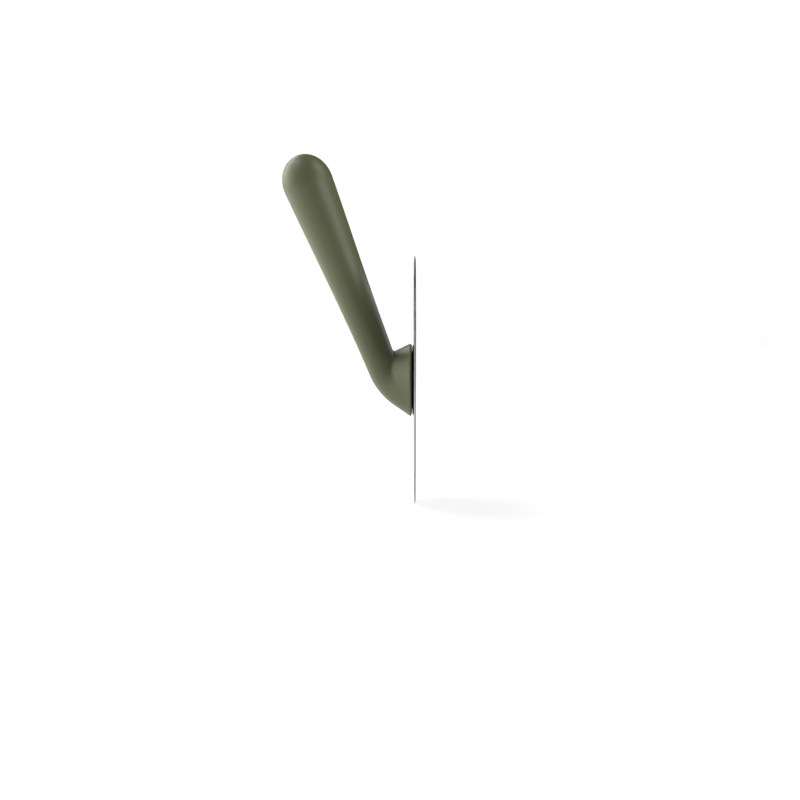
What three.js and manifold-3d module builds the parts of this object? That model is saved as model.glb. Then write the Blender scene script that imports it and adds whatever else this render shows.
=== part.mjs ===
// Pizza wheel: a round steel blade carried on one side of a knob-ended handle.
// Millimetres. The origin is the centre of the blade's outer face, on the axle's
// axis; +X runs along the axle away from the handle, +Z is up, and the handle
// leans up and back towards -X in the X-Z plane.
import * as THREE from "three";
import { LoftGeometry } from "three/addons/geometries/LoftGeometry.js";
import { mergeVertices } from "three/addons/utils/BufferGeometryUtils.js";
import Module from "manifold-3d";

// ---- driving dimensions ---------------------------------------------------

// Blade: a flat disc whose rim is ground from both faces to a blunt rolling edge.
const BLADE_R = 62.5;
const BLADE_T = 1.0;
const BLADE_GRIND = [
  [57.5, 0], // radius, and how far each face is ground down there
  [59.6, 0.05],
  [61.0, 0.15],
  [61.9, 0.28],
  [62.5, 0.44],
];
const BLADE_BORE_R = 4.6;
const BLADE_SINK_R = 5.65; // countersink on the outer face
const SINK_DEPTH = 0.55;

// Backing disc between the blade and the hub, bevelled on its hub side. A raised
// boss on its back turns inside the hub's mouth and closes the gap there.
const DISC_FRONT_X = -1.05;
const DISC_BACK_X = -1.8; // inside the boss
const DISC_RIM_BACK_X = -1.72; // outside it
const DISC_R = 17.6;
const DISC_LAND = 0.4; // width of the rim before the bevel
const DISC_BACK_R = 16.2;
const DISC_BORE_R = 4.6;
const BOSS_IN_R = 7.0;
const BOSS_OUT_R = 14.4;
const BOSS_BACK_X = -2.6;

// Axle: spigot spread flush into the blade, shoulder, journal, ring groove.
const AXLE_SPIGOT_R = 4.5;
const AXLE_HEAD_R = 5.55;
const AXLE_SHOULDER_R = 6.5;
const AXLE_SHOULDER_FRONT_X = -1.85;
const AXLE_SHOULDER_BACK_X = -2.8;
const AXLE_JOURNAL_R = 3.5;
const AXLE_GROOVE_R = 2.75;
const AXLE_GROOVE_FRONT_X = -9.97;
const AXLE_GROOVE_BACK_X = -10.8;
const AXLE_TIP_X = -12.05;
const AXLE_TIP_R = 2.2;
const AXLE_TAPER_X = -11.25;

// Bearing stack inside the hub, from the blade side to the blind end.
const THRUST_FRONT_X = -2.85;
const THRUST_BACK_X = -3.45;
const THRUST_IN_R = 3.65;
const THRUST_OUT_R = 6.4;
const BUSH_FRONT_X = -3.5;
const BUSH_FLANGE_BACK_X = -4.7;
const BUSH_BACK_X = -9.25;
const BUSH_FLANGE_R = 8.5;
const BUSH_OUT_R = 5.5;
const BUSH_BORE_R = 3.56;
const BUSH_LEAD = 0.4; // chamfer at the bore's front mouth
const END_FRONT_X = -9.3;
const END_BACK_X = -9.95;
const END_IN_R = 3.62;
const END_OUT_R = 5.3;
const RING_FRONT_X = -10.03;
const RING_BACK_X = -10.73;
const RING_IN_R = 2.85;
const RING_OUT_R = 5.0;
const RING_GAP = THREE.MathUtils.degToRad(62); // opening of the split ring

// Handle: a straight grip with a domed end. Its lines turn through a fillet on
// the mitre between grip and hub, tight at the notch and wide at the heel, and
// run out along the flare of a round hub that is coaxial with the blade.
const GRIP_AXIS = new THREE.Vector3(-54.84, 0, 101.31); // where s = 0
const GRIP_LEAN = THREE.MathUtils.degToRad(22.01);
const GRIP_TAPER = [10.182, -2.656, 0.187, 0.295]; // radius, in powers of (s - 45) / 45
const DOME_S = 3.9; // where the dome starts
const DOME_LENGTH = 16.12;
const GRIP_END_S = 91.0; // where the straight grip ends
const NOTCH_CORNER = new THREE.Vector3(-11.35, 0, 14.23);
const NOTCH_RADIUS = 1.2;
const HEEL_CORNER = new THREE.Vector3(-19.13, 0, -7.05);
const HEEL_RADIUS = 34.3;
const MITRE_HALF_WIDTH = 9.4;
const MITRE_BULGE = 2.0; // how far the mitre bows towards the blade
const MITRE_FLAT = 0.2; // how much squarer than an ellipse the mitre is
const FILLET_FROM = 0.36; // share of the mitre with the notch's tight fillet
const FLARE_X = -3.4; // end of the hub's flare
const FLARE_Z = 0.08;
const FLARE_R = 17.9;
const HUB_FACE_X = -1.85;
const HUB_FACE_R = 15.4;
const HUB_SHOULDER_R = 18.15; // pull of the rounded rim towards the face
const RIM_LEAD = 1.1;

// Core inside the grip, and the blind socket for the bearing.
const GRIP_WALL = 3.0;
const GRIP_WALL_HUB = 3.1;
const CORE_GAP = 0.2;
const CORE_FACE_X = -2.95;
const CORE_TIP = 3.4; // thickness of the grip's domed end
const SOCKET_R = 5.6;
const SOCKET_END_X = -12.6;
const RECESS_R = 8.65;
const RECESS_END_X = -4.75;

const ROUND = 48; // sides of the small turned pieces
const BLADE_SIDES = 96;
const GRIP_SIDES = 36;
const CORE_SIDES = 24;

// ---- solids ---------------------------------------------------------------

const wasm = await Module();
wasm.setup();

function solid(geometry) {
  const g = new THREE.BufferGeometry().copy(geometry);
  g.deleteAttribute("normal");
  g.deleteAttribute("uv");
  const merged = mergeVertices(g, 1e-3);
  return new wasm.Manifold(
    new wasm.Mesh({
      numProp: 3,
      vertProperties: new Float32Array(merged.attributes.position.array),
      triVerts: new Uint32Array(merged.index.array),
    }),
  );
}

function geometryOf(made) {
  const m = made.getMesh();
  const g = new THREE.BufferGeometry();
  g.setAttribute(
    "position",
    new THREE.BufferAttribute(new Float32Array(m.vertProperties), 3),
  );
  g.setIndex(new THREE.BufferAttribute(new Uint32Array(m.triVerts), 1));
  g.computeVertexNormals();
  return g;
}

// A piece turned about the axle: points are [radius, x] pairs.
function turned(points, sides, open) {
  const p = points.map(([r, x]) => new THREE.Vector2(r, x));
  if (!open) p.push(p[0].clone());
  return new THREE.LatheGeometry(p, sides).rotateZ(-Math.PI / 2);
}

// ---- the handle's surface -------------------------------------------------

const DOWN = new THREE.Vector3(Math.sin(GRIP_LEAN), 0, -Math.cos(GRIP_LEAN));
const ACROSS = new THREE.Vector3(Math.cos(GRIP_LEAN), 0, Math.sin(GRIP_LEAN));
const MITRE = HEEL_CORNER.clone().sub(NOTCH_CORNER).normalize();
const BOW = new THREE.Vector3(-MITRE.z, 0, MITRE.x).multiplyScalar(MITRE_BULGE);

const steps = (n, from, to) =>
  Array.from({ length: n }, (_, i) => from + ((to - from) * i) / (n - 1));

// A ring of points; the first is on the notch side, and all run the same way round.
const around = (sides, point) =>
  Array.from({ length: sides }, (_, i) => {
    const a = (2 * Math.PI * i) / sides;
    return point(Math.cos(a), Math.sin(a), i);
  });

function taper(s) {
  const u = (s - 45) / 45;
  return GRIP_TAPER.reduce((sum, c, i) => sum + c * u ** i, 0);
}

// A round section across the grip's axis.
function gripRing(s, r, sides) {
  const centre = GRIP_AXIS.clone().addScaledVector(DOWN, s);
  return around(sides, (c, n) => {
    const p = centre.clone().addScaledVector(ACROSS, r * c);
    p.y = -r * n;
    return p;
  });
}

// A round section across the axle's axis.
const hubRing = (x, r, sides) =>
  around(sides, (c, n) => new THREE.Vector3(x, -r * n, r * c));

function domeRings(length, wall, angles, sides) {
  return angles.map((degrees) => {
    const a = THREE.MathUtils.degToRad(degrees);
    const s = DOME_S - length * Math.cos(a);
    return gripRing(s, (taper(s) - wall) * Math.sin(a), sides);
  });
}

// Rings from the end of the grip round the fillet to the end of the flare, and
// the way in which each line leaves the flare.
function fold(start, shape) {
  const { notch, heel, halfWidth, notchRadius, heelRadius, flareR } = shape;
  const [lead, turn, run] = shape.rows;
  const ways = [];
  const lines = around(start.length, (c, n, i) => {
    const from = start[i];
    const share = (1 - c) / 2;
    const corner = notch.clone().lerp(heel, share).addScaledVector(BOW, n * n);
    corner.y = -halfWidth * n * (1 + MITRE_FLAT * c * c);
    const to = new THREE.Vector3(FLARE_X, -flareR * n, FLARE_Z + flareR * c);
    const into = corner.clone().sub(from);
    const out = to.clone().sub(corner);
    const room = 0.94 * Math.min(into.length(), out.length());
    into.normalize();
    out.normalize();
    const bend = into.angleTo(out);
    const grow = Math.max(0, (share - FILLET_FROM) / (1 - FILLET_FROM));
    const wanted = notchRadius + (heelRadius - notchRadius) * grow;
    const cut = Math.min(wanted * Math.tan(bend / 2), room);
    const radius = cut / Math.tan(bend / 2);
    const arcStart = corner.clone().addScaledVector(into, -cut);
    const arcEnd = corner.clone().addScaledVector(out, cut);
    const side = out.clone().addScaledVector(into, -into.dot(out)).normalize();
    ways.push(out);
    return [
      ...steps(lead + 1, 0, 1)
        .slice(1)
        .map((t) => from.clone().lerp(arcStart, t)),
      ...steps(turn + 1, 0, bend)
        .slice(1)
        .map((t) =>
          arcStart
            .clone()
            .addScaledVector(into, radius * Math.sin(t))
            .addScaledVector(side, radius * (1 - Math.cos(t))),
        ),
      ...steps(run + 1, 0, 1)
        .slice(1)
        .map((t) => arcEnd.clone().lerp(to, t)),
    ];
  });
  return { rings: lines[0].map((_, k) => lines.map((line) => line[k])), ways };
}

// The rounded rim from the flare to the flat hub face.
function rimRings(edge, ways, shares) {
  const curves = around(
    edge.length,
    (c, n, i) =>
      new THREE.CubicBezierCurve3(
        edge[i],
        edge[i].clone().addScaledVector(ways[i], RIM_LEAD),
        new THREE.Vector3(HUB_FACE_X, -HUB_SHOULDER_R * n, HUB_SHOULDER_R * c),
        new THREE.Vector3(HUB_FACE_X, -HUB_FACE_R * n, HUB_FACE_R * c),
      ),
  );
  return shares.map((u) => curves.map((curve) => curve.getPoint(u)));
}

function outerRings() {
  const rings = domeRings(
    DOME_LENGTH,
    0,
    [3, 13, 25, 38, 51, 64, 77],
    GRIP_SIDES,
  );
  for (const s of steps(11, DOME_S, GRIP_END_S))
    rings.push(gripRing(s, taper(s), GRIP_SIDES));
  const turn = fold(rings.at(-1), {
    notch: NOTCH_CORNER,
    heel: HEEL_CORNER,
    halfWidth: MITRE_HALF_WIDTH,
    notchRadius: NOTCH_RADIUS,
    heelRadius: HEEL_RADIUS,
    flareR: FLARE_R,
    rows: [2, 8, 3],
  });
  rings.push(...turn.rings);
  rings.push(...rimRings(rings.at(-1), turn.ways, [0.2, 0.4, 0.6, 0.8, 1]));
  return rings;
}

// The core's rings, or with no clearance those of the grip's cavity.
function innerRings(clearance, faceX) {
  const wall = GRIP_WALL + clearance;
  const rings = domeRings(
    DOME_LENGTH - CORE_TIP - clearance,
    wall,
    [8, 26, 46, 68],
    CORE_SIDES,
  );
  for (const s of steps(7, DOME_S, GRIP_END_S))
    rings.push(gripRing(s, taper(s) - wall, CORE_SIDES));
  const flareR = FLARE_R - GRIP_WALL_HUB - clearance;
  const turn = fold(rings.at(-1), {
    notch: NOTCH_CORNER.clone().addScaledVector(MITRE, 1.4 * wall),
    heel: HEEL_CORNER.clone().addScaledVector(MITRE, -1.08 * wall),
    halfWidth: MITRE_HALF_WIDTH - wall,
    notchRadius: NOTCH_RADIUS + 3,
    heelRadius: HEEL_RADIUS - 4,
    flareR,
    rows: [2, 6, 2],
  });
  rings.push(...turn.rings, hubRing(faceX, flareR, CORE_SIDES));
  return rings;
}

const loft = (rings) =>
  new LoftGeometry(rings, { closed: true, capStart: true, capEnd: true });

// ---- pieces ---------------------------------------------------------------

const gripGeometry = geometryOf(
  solid(loft(outerRings())).subtract(solid(loft(innerRings(0, 2)))),
);

const socket = turned(
  [
    [0, SOCKET_END_X],
    [SOCKET_R, SOCKET_END_X],
    [SOCKET_R, RECESS_END_X],
    [RECESS_R, RECESS_END_X],
    [RECESS_R, 1],
    [0, 1],
  ],
  ROUND,
  true,
);
const coreGeometry = geometryOf(
  solid(loft(innerRings(CORE_GAP, CORE_FACE_X))).subtract(solid(socket)),
);

const bladeGeometry = turned(
  [
    [BLADE_BORE_R, -BLADE_T],
    ...BLADE_GRIND.map(([r, depth]) => [r, depth - BLADE_T]),
    ...BLADE_GRIND.map(([r, depth]) => [r, -depth]).reverse(),
    [BLADE_SINK_R, 0],
    [BLADE_BORE_R, -SINK_DEPTH],
  ],
  BLADE_SIDES,
);

const discGeometry = turned(
  [
    [DISC_BORE_R, DISC_BACK_X],
    [BOSS_IN_R, DISC_BACK_X],
    [BOSS_IN_R, BOSS_BACK_X],
    [BOSS_OUT_R, BOSS_BACK_X],
    [BOSS_OUT_R, DISC_RIM_BACK_X],
    [DISC_BACK_R, DISC_RIM_BACK_X],
    [DISC_R, DISC_FRONT_X - DISC_LAND],
    [DISC_R, DISC_FRONT_X],
    [DISC_BORE_R, DISC_FRONT_X],
  ],
  72,
);

const axleGeometry = turned(
  [
    [0, AXLE_TIP_X],
    [AXLE_TIP_R, AXLE_TIP_X],
    [AXLE_JOURNAL_R, AXLE_TAPER_X],
    [AXLE_JOURNAL_R, AXLE_GROOVE_BACK_X],
    [AXLE_GROOVE_R, AXLE_GROOVE_BACK_X],
    [AXLE_GROOVE_R, AXLE_GROOVE_FRONT_X],
    [AXLE_JOURNAL_R, AXLE_GROOVE_FRONT_X],
    [AXLE_JOURNAL_R, AXLE_SHOULDER_BACK_X],
    [AXLE_SHOULDER_R, AXLE_SHOULDER_BACK_X],
    [AXLE_SHOULDER_R, AXLE_SHOULDER_FRONT_X],
    [AXLE_SPIGOT_R, AXLE_SHOULDER_FRONT_X],
    [AXLE_SPIGOT_R, -SINK_DEPTH],
    [AXLE_HEAD_R, 0],
    [0, 0],
  ],
  ROUND,
  true,
);

const thrustGeometry = turned(
  [
    [THRUST_IN_R, THRUST_BACK_X],
    [THRUST_OUT_R, THRUST_BACK_X],
    [THRUST_OUT_R, THRUST_FRONT_X],
    [THRUST_IN_R, THRUST_FRONT_X],
  ],
  ROUND,
);

const bushGeometry = turned(
  [
    [BUSH_BORE_R, BUSH_BACK_X],
    [BUSH_OUT_R - 0.5, BUSH_BACK_X],
    [BUSH_OUT_R, BUSH_BACK_X + 0.7],
    [BUSH_OUT_R, BUSH_FLANGE_BACK_X],
    [BUSH_FLANGE_R, BUSH_FLANGE_BACK_X],
    [BUSH_FLANGE_R, BUSH_FRONT_X],
    [BUSH_BORE_R + BUSH_LEAD, BUSH_FRONT_X],
    [BUSH_BORE_R, BUSH_FRONT_X - BUSH_LEAD],
  ],
  ROUND,
);

const endGeometry = turned(
  [
    [END_IN_R, END_BACK_X],
    [END_OUT_R, END_BACK_X],
    [END_OUT_R, END_FRONT_X],
    [END_IN_R, END_FRONT_X],
  ],
  ROUND,
);

const ringShape = new THREE.Shape();
ringShape.absarc(0, 0, RING_OUT_R, RING_GAP / 2, 2 * Math.PI - RING_GAP / 2);
ringShape.absarc(
  0,
  0,
  RING_IN_R,
  2 * Math.PI - RING_GAP / 2,
  RING_GAP / 2,
  true,
);
ringShape.closePath();
const ringGeometry = new THREE.ExtrudeGeometry(ringShape, {
  depth: RING_FRONT_X - RING_BACK_X,
  bevelEnabled: false,
  curveSegments: 20,
}).rotateY(Math.PI / 2);

// ---- assembly -------------------------------------------------------------

function piece(name, geometry, color, roughness, metalness) {
  const mesh = new THREE.Mesh(
    geometry,
    new THREE.MeshStandardMaterial({ color, roughness, metalness }),
  );
  mesh.name = name;
  return mesh;
}

const handle = new THREE.Group();
handle.add(
  piece("handle_grip", gripGeometry, 0x79806a, 0.6, 0),
  piece("handle_core", coreGeometry, 0x3c4038, 0.5, 0),
  piece("bearing_bush", bushGeometry, 0xe6e3d8, 0.35, 0),
  piece("thrust_washer", thrustGeometry, 0xd9d9d4, 0.3, 0),
);

const splitRing = piece("retaining_ring", ringGeometry, 0x55575a, 0.4, 1);
splitRing.position.x = RING_BACK_X;

const wheel = new THREE.Group();
wheel.add(
  piece("blade", bladeGeometry, 0xc9cbcc, 0.25, 1),
  piece("backing_disc", discGeometry, 0x161617, 0.45, 0),
  piece("axle", axleGeometry, 0xb4b6b8, 0.3, 1),
  piece("end_washer", endGeometry, 0xb9bbbd, 0.35, 1),
  splitRing,
);

const pizzaWheel = new THREE.Group();
pizzaWheel.add(handle, wheel);

export default pizzaWheel;
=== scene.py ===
import math

import bpy
import numpy as np
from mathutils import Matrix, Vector


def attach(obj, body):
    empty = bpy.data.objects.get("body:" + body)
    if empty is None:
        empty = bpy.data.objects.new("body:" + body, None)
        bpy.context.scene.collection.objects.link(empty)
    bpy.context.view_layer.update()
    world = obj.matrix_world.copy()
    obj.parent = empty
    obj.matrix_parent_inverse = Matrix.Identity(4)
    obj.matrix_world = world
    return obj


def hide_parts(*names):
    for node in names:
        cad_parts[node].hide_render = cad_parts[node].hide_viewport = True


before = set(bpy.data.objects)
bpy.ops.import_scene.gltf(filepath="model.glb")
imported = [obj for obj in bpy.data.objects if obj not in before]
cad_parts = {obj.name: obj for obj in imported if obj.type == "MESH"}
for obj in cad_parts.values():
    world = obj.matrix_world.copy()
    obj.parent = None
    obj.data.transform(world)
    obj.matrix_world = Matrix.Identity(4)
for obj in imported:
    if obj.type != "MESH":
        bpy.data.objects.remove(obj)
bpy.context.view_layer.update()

MM = 0.001


# ---- mesh helpers -----------------------------------------------------------


def make_mesh(name, verts, faces, sharp_deg=None):
    """A mesh object in the row frame, faces turned outwards, smooth shaded."""
    verts = np.asarray(verts, float)
    vol = 0.0
    for f in faces:
        a = verts[f[0]]
        for i in range(1, len(f) - 1):
            vol += float(np.dot(a, np.cross(verts[f[i]], verts[f[i + 1]])))
    if vol < 0:
        faces = [tuple(reversed(f)) for f in faces]
    me = bpy.data.meshes.new(name)
    me.from_pydata([tuple(v) for v in verts], [], faces)
    me.update()
    me.shade_smooth()
    if sharp_deg is not None:
        me.set_sharp_from_angle(angle=math.radians(sharp_deg))
    ob = bpy.data.objects.new(name, me)
    bpy.context.scene.collection.objects.link(ob)
    return ob


def skin(rings, start=None, end=None, close=False):
    """Quads between rings of equal length; start and end are single points that close the ends, close joins the last ring to the first."""
    n = len(rings[0])
    verts = [p for r in rings for p in r]
    faces = []
    m = len(rings)
    for i in range(m if close else m - 1):
        a, b = i * n, ((i + 1) % m) * n
        for j in range(n):
            k = (j + 1) % n
            faces.append((a + j, a + k, b + k, b + j))
    if start is not None:
        verts.append(start)
        s = len(verts) - 1
        faces += [(s, (j + 1) % n, j) for j in range(n)]
    if end is not None:
        verts.append(end)
        e = len(verts) - 1
        a = (m - 1) * n
        faces += [(e, a + j, a + (j + 1) % n) for j in range(n)]
    return verts, faces


def soften(profile, radius, closed=True, steps=5):
    """Rounds the corners of a profile of (r, x) points. radius is one number, or one for each point."""
    p = [np.array(q, float) for q in profile]
    n = len(p)
    radii = [radius] * n if isinstance(radius, (int, float)) else list(radius)
    out = []
    for i in range(n):
        if not closed and i in (0, n - 1):
            out.append(p[i])
            continue
        a, c, b = p[i - 1], p[i], p[(i + 1) % n]
        u, v = a - c, b - c
        lu, lv = np.linalg.norm(u), np.linalg.norm(v)
        u, v = u / lu, v / lv
        ang = math.acos(max(-1.0, min(1.0, float(u @ v))))
        if radii[i] <= 0 or ang > math.radians(179):
            out.append(c)
            continue
        cut = min(radii[i] / math.tan(ang / 2), 0.45 * lu, 0.45 * lv)
        s, e = c + u * cut, c + v * cut
        for t in np.linspace(0, 1, steps):
            out.append((1 - t) ** 2 * s + 2 * t * (1 - t) * c + t * t * e)
    return out


def turned(name, profile, sides, closed=True, sharp_deg=None):
    """A piece turned about the axle, from a profile of (r, x) points in millimetres. An open profile starts and ends on the axis."""
    a = np.arange(sides) * 2 * math.pi / sides
    ca, sa = np.cos(a), np.sin(a)

    def ring(r, x):
        return np.stack([np.full(sides, x), r * ca, r * sa], 1) * MM

    if closed:
        verts, faces = skin([ring(r, x) for r, x in profile], close=True)
    else:
        verts, faces = skin(
            [ring(r, x) for r, x in profile[1:-1]],
            start=np.array([profile[0][1], 0, 0]) * MM,
            end=np.array([profile[-1][1], 0, 0]) * MM,
        )
    return make_mesh(name, verts, faces, sharp_deg)


# ---- the handle, in millimetres ---------------------------------------------
# Straight lines run down the grip, turn through a fillet on the mitre between
# grip and hub, and run out along the hub's flare. The fillet is tight on the
# notch side and wide on the heel side.

GRIP_AXIS = np.array([-54.84, 101.31])
LEAN = math.radians(22.01)
DOWN = np.array([math.sin(LEAN), -math.cos(LEAN)])
ACROSS = np.array([math.cos(LEAN), math.sin(LEAN)])
TAPER = (10.182, -2.656, 0.187, 0.295)
DOME_S, DOME_LENGTH, GRIP_END_S = 3.9, 16.12, 91.0
NOTCH_CORNER, NOTCH_RADIUS = np.array([-11.35, 14.23]), 1.2
HEEL_CORNER, HEEL_RADIUS = np.array([-19.13, -7.05]), 34.3
MITRE_HALF_WIDTH, MITRE_BULGE, MITRE_FLAT = 9.4, 2.0, 0.2
FILLET_FROM = 0.36
FLARE_X, FLARE_Z, FLARE_R = -3.4, 0.08, 17.9
HUB_FACE_X, HUB_FACE_R, HUB_SHOULDER_R, RIM_LEAD = -1.85, 15.4, 18.15, 1.1
GRIP_WALL, GRIP_WALL_HUB, CORE_GAP, CORE_TIP = 3.0, 3.1, 0.2, 3.4
CORE_FACE_X = -2.95
SOCKET_R, SOCKET_END_X, RECESS_R, RECESS_END_X = 5.6, -12.6, 8.65, -4.75


MITRE = (HEEL_CORNER - NOTCH_CORNER) / np.linalg.norm(HEEL_CORNER - NOTCH_CORNER)
BULGE = MITRE_BULGE * np.array([-MITRE[1], MITRE[0]])


def taper(s):
    u = (s - 45) / 45
    return sum(c * u**i for i, c in enumerate(TAPER))


def grip_ring(s, r, sides):
    """A round section across the grip's axis; the first point is on the notch side."""
    a = np.arange(sides) * 2 * math.pi / sides
    c = GRIP_AXIS + DOWN * s
    return np.stack(
        [c[0] + ACROSS[0] * r * np.cos(a), -r * np.sin(a), c[1] + ACROSS[1] * r * np.cos(a)], 1
    )


def axis_point(s):
    p = GRIP_AXIS + DOWN * s
    return np.array([p[0], 0, p[1]])


def dome_rings(length, wall, angles, sides):
    rings = []
    for a in angles:
        s = DOME_S - length * math.cos(a)
        rings.append(grip_ring(s, (taper(s) - wall) * math.sin(a), sides))
    return rings


def fold(start, notch, heel, half_width, notch_radius, heel_radius, flare_r, rows, sides):
    """Rings from the end of the grip round the fillet to the end of the flare, and the way each line leaves the flare."""
    lead, turn, run = rows
    cols, ways = [], []
    for j in range(sides):
        a = 2 * math.pi * j / sides
        share = (1 - math.cos(a)) / 2
        k2 = notch * (1 - share) + heel * share + BULGE * math.sin(a) ** 2
        wide = half_width * math.sin(a) * (1 + MITRE_FLAT * math.cos(a) ** 2)
        k = np.array([k2[0], -wide, k2[1]])
        b = np.array([FLARE_X, -flare_r * math.sin(a), FLARE_Z + flare_r * math.cos(a)])
        into, out = k - start[j], b - k
        l1, l2 = np.linalg.norm(into), np.linalg.norm(out)
        into, out = into / l1, out / l2
        bend = math.acos(float(into @ out))
        grow = max(0.0, (share - FILLET_FROM) / (1 - FILLET_FROM))
        radius = notch_radius + (heel_radius - notch_radius) * grow
        cut = min(radius * math.tan(bend / 2), 0.94 * l1, 0.94 * l2)
        radius = cut / math.tan(bend / 2)
        s, e = k - into * cut, k + out * cut
        side = out - into * float(into @ out)
        side = side / np.linalg.norm(side)
        col = [start[j] + (s - start[j]) * t for t in np.linspace(0, 1, lead + 1)[1:]]
        for t in np.linspace(0, bend, turn + 1)[1:]:
            col.append(s + radius * (math.sin(t) * into + (1 - math.cos(t)) * side))
        col += [e + (b - e) * t for t in np.linspace(0, 1, run + 1)[1:]]
        cols.append(col)
        ways.append(out)
    return [np.array([c[i] for c in cols]) for i in range(lead + turn + run)], np.array(ways)


def rim_rings(edge, ways, steps):
    """The rounded rim from the flare to the flat hub face."""
    sides = len(edge)
    a = np.arange(sides) * 2 * math.pi / sides
    out = np.stack([np.zeros(sides), -np.sin(a), np.cos(a)], 1)
    face = np.array([HUB_FACE_X, 0, 0])
    p1, p2, p3 = edge + ways * RIM_LEAD, face + out * HUB_SHOULDER_R, face + out * HUB_FACE_R
    rings = []
    for u in np.linspace(0, 1, steps + 1)[1:]:
        v = 1 - u
        rings.append(v**3 * edge + 3 * v * v * u * p1 + 3 * v * u * u * p2 + u**3 * p3)
    return rings


def inner_rings(clearance, face_x, counts, sides):
    """The core's rings, or with no clearance the grip's cavity."""
    dome, grip, rows = counts
    wall = GRIP_WALL + clearance
    rings = dome_rings(
        DOME_LENGTH - CORE_TIP - clearance, wall, np.radians(np.linspace(6, 84, dome)), sides
    )
    for s in np.linspace(DOME_S, GRIP_END_S, grip):
        rings.append(grip_ring(s, taper(s) - wall, sides))
    flare_r = FLARE_R - GRIP_WALL_HUB - clearance
    turn, _ = fold(
        rings[-1],
        NOTCH_CORNER + MITRE * 1.4 * wall,
        HEEL_CORNER - MITRE * 1.08 * wall,
        MITRE_HALF_WIDTH - wall,
        NOTCH_RADIUS + 3.0,
        HEEL_RADIUS - 4.0,
        flare_r,
        rows,
        sides,
    )
    rings += turn
    a = np.arange(sides) * 2 * math.pi / sides
    rings.append(
        np.stack([np.full(sides, face_x), -flare_r * np.sin(a), flare_r * np.cos(a)], 1)
    )
    return rings


# ---- pieces -----------------------------------------------------------------

SIDES = 160
outer = dome_rings(DOME_LENGTH, 0, np.radians(np.linspace(2, 88, 44)), SIDES)
for s in np.linspace(DOME_S, GRIP_END_S, 80):
    outer.append(grip_ring(s, taper(s), SIDES))
turn, ways = fold(
    outer[-1],
    NOTCH_CORNER,
    HEEL_CORNER,
    MITRE_HALF_WIDTH,
    NOTCH_RADIUS,
    HEEL_RADIUS,
    FLARE_R,
    (8, 30, 16),
    SIDES,
)
outer += turn
outer += rim_rings(outer[-1], ways, 30)
cavity = inner_rings(0.0, HUB_FACE_X, (14, 30, (4, 16, 8)), SIDES)
verts, faces = skin(
    [r * MM for r in outer + cavity[::-1]],
    start=axis_point(DOME_S - DOME_LENGTH) * MM,
    end=axis_point(DOME_S - (DOME_LENGTH - CORE_TIP)) * MM,
)
grip = make_mesh("grip_shell", verts, faces, 50)

core_sides = 96
core_rings = inner_rings(CORE_GAP, CORE_FACE_X, (14, 30, (4, 16, 8)), core_sides)
a = np.arange(core_sides) * 2 * math.pi / core_sides
for r, x in (
    (RECESS_R + 0.2, CORE_FACE_X),
    (RECESS_R, CORE_FACE_X - 0.2),
    (RECESS_R, RECESS_END_X),
    (SOCKET_R, RECESS_END_X),
    (SOCKET_R, SOCKET_END_X),
):
    core_rings.append(np.stack([np.full(core_sides, x), -r * np.sin(a), r * np.cos(a)], 1))
verts, faces = skin(
    [r * MM for r in core_rings],
    start=axis_point(DOME_S - (DOME_LENGTH - CORE_TIP - CORE_GAP)) * MM,
    end=np.array([SOCKET_END_X, 0, 0]) * MM,
)
core = make_mesh("inner_core", verts, faces, 40)

blade = turned(
    "blade_disc",
    soften(
        [
            (4.6, -1.0),
            (57.5, -1.0),
            (59.6, -0.95),
            (61.0, -0.85),
            (61.9, -0.72),
            (62.5, -0.56),
            (62.5, -0.44),
            (61.9, -0.28),
            (61.0, -0.15),
            (59.6, -0.05),
            (57.5, 0.0),
            (5.65, 0.0),
            (4.6, -0.55),
        ],
        (0.05, 6, 4, 3, 2, 0.1, 0.1, 2, 3, 4, 6, 0.06, 0.05),
    ),
    360,
    sharp_deg=25,
)

disc = turned(
    "black_disc",
    soften(
        [
            (4.6, -1.8),
            (7.0, -1.8),
            (7.0, -2.6),
            (14.4, -2.6),
            (14.4, -1.72),
            (16.2, -1.72),
            (17.6, -1.45),
            (17.6, -1.05),
            (4.6, -1.05),
        ],
        (0.08, 0.1, 0.12, 0.12, 0.1, 0.15, 0.06, 0.05, 0.05),
    ),
    256,
)

axle = turned(
    "axle_pin",
    soften(
        [
            (0, -12.05),
            (2.2, -12.05),
            (3.5, -11.25),
            (3.5, -10.8),
            (2.75, -10.8),
            (2.75, -9.97),
            (3.5, -9.97),
            (3.5, -2.8),
            (6.5, -2.8),
            (6.5, -1.85),
            (4.5, -1.85),
            (4.5, -0.55),
            (5.55, 0.0),
            (0, 0),
        ],
        (0, 0.15, 0.2, 0.06, 0.05, 0.05, 0.06, 0.12, 0.12, 0.12, 0.06, 0.08, 0.05, 0),
        closed=False,
    ),
    128,
    closed=False,
    sharp_deg=35,
)

for ob, body, node, slot in (
    (grip, "handle", "handle_grip", "grip_green"),
    (core, "handle", "handle_core", "core_plastic"),
    (blade, "wheel", "blade", "blade_steel"),
    (disc, "wheel", "backing_disc", "black_plastic"),
    (axle, "wheel", "axle", "axle_steel"),
):
    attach(ob, body)
    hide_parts(node)


# ---- materials --------------------------------------------------------------


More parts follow.
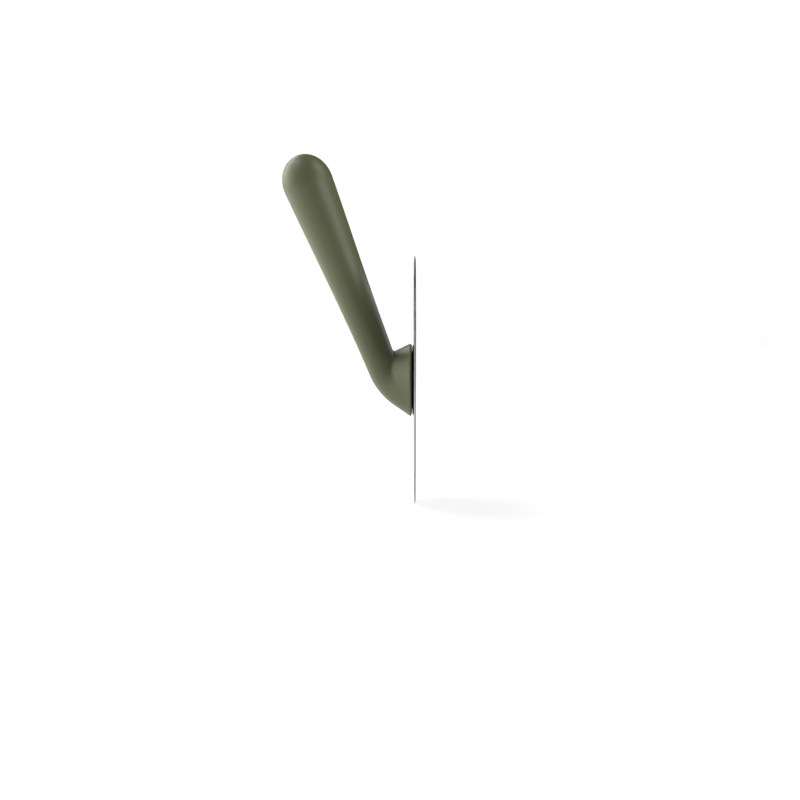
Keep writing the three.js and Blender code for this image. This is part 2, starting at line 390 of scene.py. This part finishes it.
class Nodes:
    def __init__(self, name):
        self.mat = bpy.data.materials.new(name)
        self.mat.use_nodes = True
        self.t = self.mat.node_tree
        self.t.nodes.clear()
        self.out = self.t.nodes.new("ShaderNodeOutputMaterial")
        self.bsdf = self.t.nodes.new("ShaderNodeBsdfPrincipled")
        self.link(self.bsdf.outputs[0], self.out.inputs[0])

    def link(self, a, b):
        self.t.links.new(a, b)

    def new(self, kind, **settings):
        n = self.t.nodes.new(kind)
        for k, v in settings.items():
            setattr(n, k, v)
        return n

    def coords(self):
        return self.new("ShaderNodeTexCoord").outputs["Object"]

    def noise(self, vector, scale, detail=2.0, roughness=0.5):
        n = self.new("ShaderNodeTexNoise")
        n.inputs["Scale"].default_value = scale
        n.inputs["Detail"].default_value = detail
        n.inputs["Roughness"].default_value = roughness
        self.link(vector, n.inputs["Vector"])
        return n.outputs["Fac"]

    def span(self, value, lo, hi, a=0.3, b=0.7):
        n = self.new("ShaderNodeMapRange", clamp=True)
        n.inputs["From Min"].default_value = a
        n.inputs["From Max"].default_value = b
        n.inputs["To Min"].default_value = lo
        n.inputs["To Max"].default_value = hi
        self.link(value, n.inputs["Value"])
        return n.outputs["Result"]

    def math(self, op, a, b=None):
        n = self.new("ShaderNodeMath", operation=op)
        for i, v in enumerate((a, b)):
            if v is None:
                continue
            if isinstance(v, (int, float)):
                n.inputs[i].default_value = v
            else:
                self.link(v, n.inputs[i])
        return n.outputs[0]

    def mix(self, fac, a, b):
        n = self.new("ShaderNodeMix", data_type="RGBA")
        for sock, v in ((n.inputs[0], fac), (n.inputs[6], a), (n.inputs[7], b)):
            if isinstance(v, (int, float)):
                sock.default_value = v
            elif isinstance(v, tuple):
                sock.default_value = (*v, 1)
            else:
                self.link(v, sock)
        return n.outputs[2]

    def bump(self, height, strength, distance, normal=None):
        n = self.new("ShaderNodeBump")
        n.inputs["Strength"].default_value = strength
        n.inputs["Distance"].default_value = distance
        self.link(height, n.inputs["Height"])
        if normal is not None:
            self.link(normal, n.inputs["Normal"])
        return n.outputs["Normal"]

    def polar(self):
        """Radius from the axle in metres, and the unit direction in the Y-Z plane."""
        s = self.new("ShaderNodeSeparateXYZ")
        self.link(self.coords(), s.inputs[0])
        y, z = s.outputs[1], s.outputs[2]
        r = self.math(
            "SQRT",
            self.math("ADD", self.math("MULTIPLY", y, y), self.math("MULTIPLY", z, z)),
        )
        rs = self.math("MAXIMUM", r, 1e-5)
        return r, self.math("DIVIDE", y, rs), self.math("DIVIDE", z, rs)

    def vector(self, x, y, z):
        n = self.new("ShaderNodeCombineXYZ")
        for i, v in enumerate((x, y, z)):
            if isinstance(v, (int, float)):
                n.inputs[i].default_value = v
            else:
                self.link(v, n.inputs[i])
        return n.outputs[0]


# Sage green satin moulding with a fine eroded texture.
g = Nodes("sage_moulding")
p = g.coords()
broad = g.noise(p, 22, 3)
fine = g.noise(p, 1400, 3)
tone = g.mix(g.span(broad, 0, 1), (0.117, 0.132, 0.066), (0.125, 0.141, 0.072))
tone = g.mix(g.span(fine, 0, 0.35), tone, (0.108, 0.122, 0.061))
g.link(tone, g.bsdf.inputs["Base Color"])
g.link(g.span(g.noise(p, 90, 4), 0.37, 0.45), g.bsdf.inputs["Roughness"])
g.bsdf.inputs["Specular IOR Level"].default_value = 0.35
n1 = g.bump(g.noise(p, 2600, 2), 0.12, 0.00006)
n2 = g.bump(g.noise(p, 260, 2), 0.05, 0.0001, n1)
g.link(n2, g.bsdf.inputs["Normal"])
grip.data.materials.append(g.mat)

# Ground and polished stainless steel: fine turning lines on the flats, a coarser cross grind on the bevel. The bevel's
# base colour is also painted darker than the flats: painted shade that darkens its reflection.
b = Nodes("ground_steel")
r, uy, uz = b.polar()
lines = b.noise(
    b.vector(
        b.math("MULTIPLY", r, 5200), b.math("MULTIPLY", uy, 5), b.math("MULTIPLY", uz, 5)
    ),
    1.0,
    3,
    0.6,
)
cross = b.noise(
    b.vector(
        b.math("MULTIPLY", r, 500),
        b.math("MULTIPLY", uy, 900),
        b.math("MULTIPLY", uz, 900),
    ),
    1.0,
    3,
    0.6,
)
on_bevel = b.span(r, 0, 1, 0.0594, 0.0602)
smear = b.noise(b.coords(), 45, 4)
tone = b.mix(b.span(lines, 0, 1), (0.48, 0.48, 0.475), (0.58, 0.58, 0.575))
# The bevel's darker tone (0.36-0.46 against 0.48-0.58 on the flats) is painted shade, a darkened reflection; the cross
# grind pattern in it is real texture.
edge = b.mix(b.span(cross, 0, 1), (0.36, 0.36, 0.355), (0.46, 0.46, 0.455))
b.link(b.mix(on_bevel, tone, edge), b.bsdf.inputs["Base Color"])
b.bsdf.inputs["Metallic"].default_value = 1.0
flat_rough = b.math("ADD", b.span(lines, 0.16, 0.26), b.span(smear, 0.0, 0.06))
edge_rough = b.span(cross, 0.2, 0.34)
rm = b.new("ShaderNodeMix", data_type="FLOAT")
b.link(on_bevel, rm.inputs[0])
b.link(flat_rough, rm.inputs[2])
b.link(edge_rough, rm.inputs[3])
b.link(rm.outputs[0], b.bsdf.inputs["Roughness"])
hm = b.new("ShaderNodeMix", data_type="FLOAT")
b.link(on_bevel, hm.inputs[0])
b.link(lines, hm.inputs[2])
b.link(cross, hm.inputs[3])
b.link(b.bump(hm.outputs[0], 0.1, 0.00003), b.bsdf.inputs["Normal"])
blade.data.materials.append(b.mat)

# Turned steel for the axle.
a = Nodes("turned_steel")
r, uy, uz = a.polar()
lines = a.noise(
    a.vector(
        a.math("MULTIPLY", r, 9000), a.math("MULTIPLY", uy, 2), a.math("MULTIPLY", uz, 2)
    ),
    1.0,
    2,
    0.6,
)
a.link(
    a.mix(a.span(lines, 0, 1), (0.44, 0.44, 0.44), (0.60, 0.60, 0.60)),
    a.bsdf.inputs["Base Color"],
)
a.bsdf.inputs["Metallic"].default_value = 1.0
a.link(a.span(lines, 0.22, 0.36), a.bsdf.inputs["Roughness"])
a.link(a.bump(lines, 0.15, 0.00004), a.bsdf.inputs["Normal"])
axle.data.materials.append(a.mat)

# Black matt moulding.
k = Nodes("black_moulding")
p = k.coords()
k.link(
    k.mix(k.span(k.noise(p, 900, 3), 0, 1), (0.0022, 0.0022, 0.0024), (0.004, 0.004, 0.004)),
    k.bsdf.inputs["Base Color"],
)
k.link(k.span(k.noise(p, 160, 3), 0.55, 0.7), k.bsdf.inputs["Roughness"])
k.bsdf.inputs["Specular IOR Level"].default_value = 0.0
k.link(k.bump(k.noise(p, 2200, 2), 0.12, 0.00005), k.bsdf.inputs["Normal"])
disc.data.materials.append(k.mat)


def plain_moulding(name, low, high, rough_low, rough_high, metallic=0.0):
    m = Nodes(name)
    p = m.coords()
    m.link(m.mix(m.span(m.noise(p, 700, 3), 0, 1), low, high), m.bsdf.inputs["Base Color"])
    m.link(m.span(m.noise(p, 220, 3), rough_low, rough_high), m.bsdf.inputs["Roughness"])
    m.bsdf.inputs["Metallic"].default_value = metallic
    m.link(m.bump(m.noise(p, 2400, 2), 0.1, 0.00004), m.bsdf.inputs["Normal"])
    return m.mat


core.data.materials.append(
    plain_moulding("core_moulding", (0.045, 0.048, 0.04), (0.06, 0.064, 0.052), 0.45, 0.6)
)
for node, material in (
    ("bearing_bush", plain_moulding("bush_moulding", (0.70, 0.68, 0.60), (0.78, 0.76, 0.68), 0.3, 0.42)),
    ("thrust_washer", plain_moulding("washer_moulding", (0.62, 0.62, 0.58), (0.70, 0.70, 0.66), 0.28, 0.4)),
    ("end_washer", plain_moulding("washer_steel", (0.48, 0.48, 0.48), (0.58, 0.58, 0.58), 0.25, 0.38, 1.0)),
    ("retaining_ring", plain_moulding("spring_steel", (0.06, 0.06, 0.065), (0.10, 0.10, 0.105), 0.3, 0.45, 1.0)),
):
    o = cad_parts[node]
    o.data.materials.clear()
    o.data.materials.append(material)

# ---- stage ------------------------------------------------------------------
# A pale glossy table top that fades out into the white room.

FLOOR_Z = -62.5 * MM
FLOOR_R = 1.4
ring_n = 96
floor_verts = [(0, 0, FLOOR_Z)] + [
    (FLOOR_R * math.cos(2 * math.pi * i / ring_n), FLOOR_R * math.sin(2 * math.pi * i / ring_n), FLOOR_Z)
    for i in range(ring_n)
]
floor = make_mesh("floor", floor_verts, [(0, 1 + i, 1 + (i + 1) % ring_n) for i in range(ring_n)])
f = Nodes("pale_floor")
p = f.coords()
f.link(
    f.mix(f.span(f.noise(p, 6, 3), 0, 1), (0.86, 0.86, 0.86), (0.88, 0.88, 0.88)),
    f.bsdf.inputs["Base Color"],
)
f.bsdf.inputs["Roughness"].default_value = 0.2
f.bsdf.inputs["Specular IOR Level"].default_value = 0.3
f.bsdf.inputs["Emission Color"].default_value = (1, 1, 1, 1)
split = f.new("ShaderNodeSeparateXYZ")
f.link(p, split.inputs[0])
path = f.new("ShaderNodeLightPath")
left_glow = f.math(
    "MULTIPLY",
    f.span(split.outputs[0], 2.7, 0.0, -0.35, -0.03),
    path.outputs["Is Diffuse Ray"],
)
seen = f.math("MULTIPLY", path.outputs["Is Camera Ray"], 0.6)
f.link(f.math("ADD", seen, left_glow), f.bsdf.inputs["Emission Strength"])
far = f.new("ShaderNodeVectorMath", operation="LENGTH")
f.link(p, far.inputs[0])
gone = f.new("ShaderNodeMapRange", interpolation_type="SMOOTHSTEP")
gone.inputs["From Min"].default_value = 0.45
gone.inputs["From Max"].default_value = 1.25
f.link(far.outputs["Value"], gone.inputs["Value"])
clear = f.new("ShaderNodeBsdfTransparent")
fade = f.new("ShaderNodeMixShader")
f.link(gone.outputs["Result"], fade.inputs[0])
f.link(f.bsdf.outputs[0], fade.inputs[1])
f.link(clear.outputs[0], fade.inputs[2])
f.link(fade.outputs[0], f.out.inputs[0])
floor.data.materials.append(f.mat)

# The camera sees a white room; what lights the object is a dim room with a pale backdrop behind.
world = bpy.data.worlds.new("studio")
bpy.context.scene.world = world
world.use_nodes = True
w = world.node_tree
w.nodes.clear()
w_out = w.nodes.new("ShaderNodeOutputWorld")
w_mix = w.nodes.new("ShaderNodeMixShader")
w_path = w.nodes.new("ShaderNodeLightPath")
w_room = w.nodes.new("ShaderNodeBackground")
w_seen = w.nodes.new("ShaderNodeBackground")
w_seen.inputs["Color"].default_value = (1, 1, 1, 1)
w_seen.inputs["Strength"].default_value = 1.05
w_dir = w.nodes.new("ShaderNodeTexCoord")
w_dot = w.nodes.new("ShaderNodeVectorMath")
w_dot.operation = "DOT_PRODUCT"
w_dot.inputs[1].default_value = (0, 0.94, 0.342)
w.links.new(w_dir.outputs["Generated"], w_dot.inputs[0])
w_span = w.nodes.new("ShaderNodeMapRange")
w_span.interpolation_type = "SMOOTHSTEP"
w_span.inputs["From Min"].default_value = math.cos(math.radians(19))
w_span.inputs["From Max"].default_value = math.cos(math.radians(9))
w_span.inputs["To Min"].default_value = 0.02
w_span.inputs["To Max"].default_value = 0.06
w.links.new(w_dot.outputs["Value"], w_span.inputs["Value"])
w.links.new(w_span.outputs["Result"], w_room.inputs["Strength"])
w.links.new(w_path.outputs["Is Camera Ray"], w_mix.inputs[0])
w.links.new(w_room.outputs[0], w_mix.inputs[1])
w.links.new(w_seen.outputs[0], w_mix.inputs[2])
w.links.new(w_mix.outputs[0], w_out.inputs[0])


def softbox(name, azimuth, elevation, distance, width, height, watts):
    """A soft light aimed at the grip; azimuth 0 is the camera's side, 90 the blade's side."""
    light = bpy.data.lights.new(name, "AREA")
    light.shape = "RECTANGLE"
    light.size, light.size_y = width, height
    light.energy = watts
    ob = bpy.data.objects.new(name, light)
    az, el = math.radians(azimuth), math.radians(elevation)
    aim = Vector((-0.03, 0, 0.04))
    ob.location = aim + distance * Vector(
        (math.sin(az) * math.cos(el), -math.cos(az) * math.cos(el), math.sin(el))
    )
    ob.rotation_euler = (aim - ob.location).to_track_quat("-Z", "Y").to_euler()
    ob.visible_camera = False
    bpy.context.scene.collection.objects.link(ob)
    return ob


softbox("left_far", -96, 12, 1.6, 0.9, 1.2, 7.6)
softbox("left_mid", -106, 6, 0.8, 1.0, 0.6, 2.3)
softbox("left_high", -112, 42, 1.2, 0.7, 0.7, 3.6)
softbox("left_top", -95, 62, 1.3, 0.5, 0.5, 3.3)
softbox("left_front_top", -60, 42, 1.3, 0.5, 0.5, 1.2)
softbox("back_low", -128, 9, 1.2, 0.8, 0.5, 2.4)
softbox("back_mid", -125, 22, 1.2, 0.6, 0.6, 2.4)
softbox("back_up", -148, 33, 1.2, 0.6, 0.5, 3.2)
softbox("right_box", 63, 14, 1.2, 1.0, 0.6, 6.5)
softbox("right_high", 90, 50, 1.2, 0.6, 0.6, 5.6)

# ---- camera -----------------------------------------------------------------

DISTANCE, ELEVATION = 1.5, math.radians(7)
aim = Vector((-7.95, 0, -10.2)) * MM
cam = bpy.data.cameras.new("photo_view")
cam.lens, cam.sensor_width = 134.0, 36.0
cam_ob = bpy.data.objects.new("photo_view", cam)
cam_ob.location = (
    -5.0 * MM,
    -DISTANCE * math.cos(ELEVATION),
    aim.z + DISTANCE * math.sin(ELEVATION),
)
cam_ob.rotation_euler = (aim - cam_ob.location).to_track_quat("-Z", "Y").to_euler()
bpy.context.scene.collection.objects.link(cam_ob)
bpy.context.scene.camera = cam_ob
bpy.context.scene.view_settings.view_transform = "Standard"
